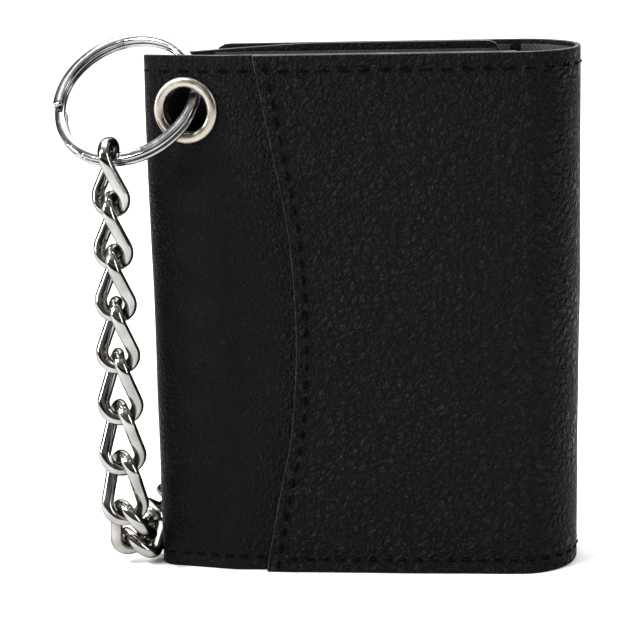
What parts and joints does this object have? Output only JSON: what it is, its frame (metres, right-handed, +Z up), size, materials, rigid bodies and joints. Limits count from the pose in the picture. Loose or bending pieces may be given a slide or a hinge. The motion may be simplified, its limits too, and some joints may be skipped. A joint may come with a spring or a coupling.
{
  "type": "chain wallet",
  "caption": "Black leather tri-fold wallet standing closed, with an eyelet and split ring at the upper left and a curb chain that ends in a bolt snap.",
  "frame": {"origin": "middle of the centre panel's bottom edge, at mid-width and in the middle of its leather", "axes": "+X to the right edge of the front, +Y from the front (centre) panel to the back flaps, +Z up to the top edges"},
  "size_m": [0.1082, 0.1269, 0.1112],
  "materials": {
    "black_leather": "pebbled",
    "black_lining": "woven",
    "nickel_chrome": "polished",
    "eyelet_nickel": "polished",
    "clear_film": "clear"
  },
  "bodies": {
    "centre_panel": {"shell_centre": "black_leather", "front_pocket": "black_leather", "eyelet": "eyelet_nickel", "eyelet_washer": "eyelet_nickel", "lining_centre": "black_lining", "bill_wall_centre": "black_leather", "card_pocket_centre_1": "black_leather", "card_pocket_centre_2": "black_leather", "card_pocket_centre_3": "black_leather"},
    "right_fold": {"shell_right_fold": "black_leather", "lining_right_fold": "black_lining"},
    "outer_flap": {"shell_outer_flap": "black_leather", "lining_outer_flap": "black_lining", "bill_wall_outer_flap": "black_leather", "card_pocket_outer_1": "black_leather", "card_pocket_outer_2": "black_leather", "card_pocket_outer_3": "black_leather"},
    "inner_flap": {"shell_inner_flap": "black_leather", "lining_inner_flap": "black_lining", "bill_wall_inner_flap": "black_leather", "window_frame": "black_leather", "clear_window": "clear_film"},
    "ring": {"split_ring": "nickel_chrome"},
    "link_01": {"chain_link_01": "nickel_chrome"},
    "link_02": {"chain_link_02": "nickel_chrome"},
    "link_03": {"chain_link_03": "nickel_chrome"},
    "link_04": {"chain_link_04": "nickel_chrome"},
    "link_05": {"chain_link_05": "nickel_chrome"},
    "link_06": {"chain_link_06": "nickel_chrome"},
    "link_07": {"chain_link_07": "nickel_chrome"},
    "link_08": {"chain_link_08": "nickel_chrome"},
    "link_09": {"chain_link_09": "nickel_chrome"},
    "link_10": {"chain_link_10": "nickel_chrome"},
    "link_11": {"chain_link_11": "nickel_chrome"},
    "link_12": {"chain_link_12": "nickel_chrome"},
    "link_13": {"chain_link_13": "nickel_chrome"},
    "link_14": {"chain_link_14": "nickel_chrome"},
    "link_15": {"chain_link_15": "nickel_chrome"},
    "link_16": {"chain_link_16": "nickel_chrome"},
    "link_17": {"chain_link_17": "nickel_chrome"},
    "link_18": {"chain_link_18": "nickel_chrome"},
    "link_19": {"chain_link_19": "nickel_chrome"},
    "link_20": {"chain_link_20": "nickel_chrome"},
    "link_21": {"chain_link_21": "nickel_chrome"},
    "swivel": {"snap_swivel": "nickel_chrome"},
    "snap": {"snap_body": "nickel_chrome", "snap_spring": "nickel_chrome"},
    "bolt": {"snap_bolt": "nickel_chrome"}
  },
  "joints": [
    {"name": "right_fold_hinge", "type": "hinge", "parent": "centre_panel", "child": "right_fold", "pos_m": [0.04131, 0.00204, 0.054], "axis": [0, 0, -1], "range_deg": [0, 90]},
    {"name": "outer_flap_hinge", "type": "hinge", "parent": "right_fold", "child": "outer_flap", "pos_m": [0.04131, 0.02166, 0.054], "axis": [0, 0, -1], "range_deg": [0, 90]},
    {"name": "inner_flap_hinge", "type": "hinge", "parent": "centre_panel", "child": "inner_flap", "pos_m": [-0.042, 0.01535, 0.054], "axis": [0, 0, 1], "range_deg": [0, 54]},
    {"name": "ring_swing", "type": "hinge", "parent": "centre_panel", "child": "ring", "pos_m": [-0.03497, 0.0015, 0.097], "axis": [0.2079, 0.9781, 0], "range_deg": [0, 10]},
    {"name": "link_01_hinge", "type": "hinge", "parent": "ring", "child": "link_01", "pos_m": [-0.05046, -0.00265, 0.09102], "axis": [0.309, 0.9511, 0], "range_deg": [0, 8]},
    {"name": "link_02_hinge", "type": "hinge", "parent": "link_01", "child": "link_02", "pos_m": [-0.05046, -0.00265, 0.08012], "axis": [0.2419, 0.9703, 0], "range_deg": [0, 8]},
    {"name": "link_03_hinge", "type": "hinge", "parent": "link_02", "child": "link_03", "pos_m": [-0.05046, -0.00265, 0.06922], "axis": [0.1392, 0.9903, 0], "range_deg": [0, 8]},
    {"name": "link_04_hinge", "type": "hinge", "parent": "link_03", "child": "link_04", "pos_m": [-0.05046, -0.00265, 0.05832], "axis": [0, 1, 0], "range_deg": [0, 8]},
    {"name": "link_05_hinge", "type": "hinge", "parent": "link_04", "child": "link_05", "pos_m": [-0.05046, -0.00265, 0.04742], "axis": [-0.1564, 0.9877, 0], "range_deg": [0, 8]},
    {"name": "link_06_hinge", "type": "hinge", "parent": "link_05", "child": "link_06", "pos_m": [-0.05046, -0.00265, 0.03652], "axis": [-0.309, 0.9511, 0], "range_deg": [0, 8]},
    {"name": "link_07_hinge", "type": "hinge", "parent": "link_06", "child": "link_07", "pos_m": [-0.05046, -0.00265, 0.02562], "axis": [-0.454, 0.891, 0], "range_deg": [0, 8]},
    {"name": "link_08_hinge", "type": "hinge", "parent": "link_07", "child": "link_08", "pos_m": [-0.04978, -0.00399, 0.0143], "axis": [-0.5736, 0.6455, 0.5043], "range_deg": [0, 8]},
    {"name": "link_09_hinge", "type": "hinge", "parent": "link_08", "child": "link_09", "pos_m": [-0.04933, 0.00325, 0.00399], "axis": [0, 0, 1], "range_deg": [0, 5]},
    {"name": "link_10_hinge", "type": "hinge", "parent": "link_09", "child": "link_10", "pos_m": [-0.04883, 0.01425, 0.003], "axis": [0, 0, 1], "range_deg": [0, 5]},
    {"name": "link_11_hinge", "type": "hinge", "parent": "link_10", "child": "link_11", "pos_m": [-0.048, 0.02513, 0.00342], "axis": [0, 0, 1], "range_deg": [0, 5]},
    {"name": "link_12_hinge", "type": "hinge", "parent": "link_11", "child": "link_12", "pos_m": [-0.04596, 0.03585, 0.0034], "axis": [0, 0, 1], "range_deg": [0, 5]},
    {"name": "link_13_hinge", "type": "hinge", "parent": "link_12", "child": "link_13", "pos_m": [-0.04511, 0.04673, 0.00338], "axis": [0, 0, 1], "range_deg": [0, 5]},
    {"name": "link_14_hinge", "type": "hinge", "parent": "link_13", "child": "link_14", "pos_m": [-0.04672, 0.05754, 0.00335], "axis": [0, 0, 1], "range_deg": [0, 5]},
    {"name": "link_15_hinge", "type": "hinge", "parent": "link_14", "child": "link_15", "pos_m": [-0.04959, 0.06807, 0.00342], "axis": [0, 0, 1], "range_deg": [0, 5]},
    {"name": "link_16_hinge", "type": "hinge", "parent": "link_15", "child": "link_16", "pos_m": [-0.05005, 0.07902, 0.00379], "axis": [0, 0, 1], "range_deg": [0, 5]},
    {"name": "link_17_hinge", "type": "hinge", "parent": "link_16", "child": "link_17", "pos_m": [-0.04741, 0.08965, 0.00377], "axis": [0, 0, 1], "range_deg": [0, 5]},
    {"name": "link_18_hinge", "type": "hinge", "parent": "link_17", "child": "link_18", "pos_m": [-0.04194, 0.09915, 0.00401], "axis": [0, 0, 1], "range_deg": [0, 5]},
    {"name": "link_19_hinge", "type": "hinge", "parent": "link_18", "child": "link_19", "pos_m": [-0.03378, 0.1065, 0.00427], "axis": [0, 0, 1], "range_deg": [0, 5]},
    {"name": "link_20_hinge", "type": "hinge", "parent": "link_19", "child": "link_20", "pos_m": [-0.02375, 0.11094, 0.0045], "axis": [0, 0, 1], "range_deg": [0, 5]},
    {"name": "link_21_hinge", "type": "hinge", "parent": "link_20", "child": "link_21", "pos_m": [-0.0129, 0.11237, 0.00462], "axis": [0, 0, 1], "range_deg": [0, 5]},
    {"name": "swivel_hinge", "type": "hinge", "parent": "link_21", "child": "swivel", "pos_m": [-0.002, 0.11185, 0.00476], "axis": [0, 0, 1], "range_deg": [0, 8]},
    {"name": "snap_turn", "type": "hinge", "parent": "swivel", "child": "snap", "pos_m": [0.00874, 0.11148, 0.00476], "axis": [0.9994, -0.0349, 0], "continuous": true},
    {"name": "bolt_slide", "type": "slide", "parent": "snap", "child": "bolt", "axis": [-0.9994, 0.0349, 0], "range_m": [0, 0.005], "stiffness_N_per_m": 120, "springref_m": -0.002}
  ],
  "couplings": [
    {"joint": "outer_flap_hinge", "follows": "right_fold_hinge", "ratio": 1},
    {"joint": "inner_flap_hinge", "follows": "right_fold_hinge", "ratio": 0.6}
  ]
}
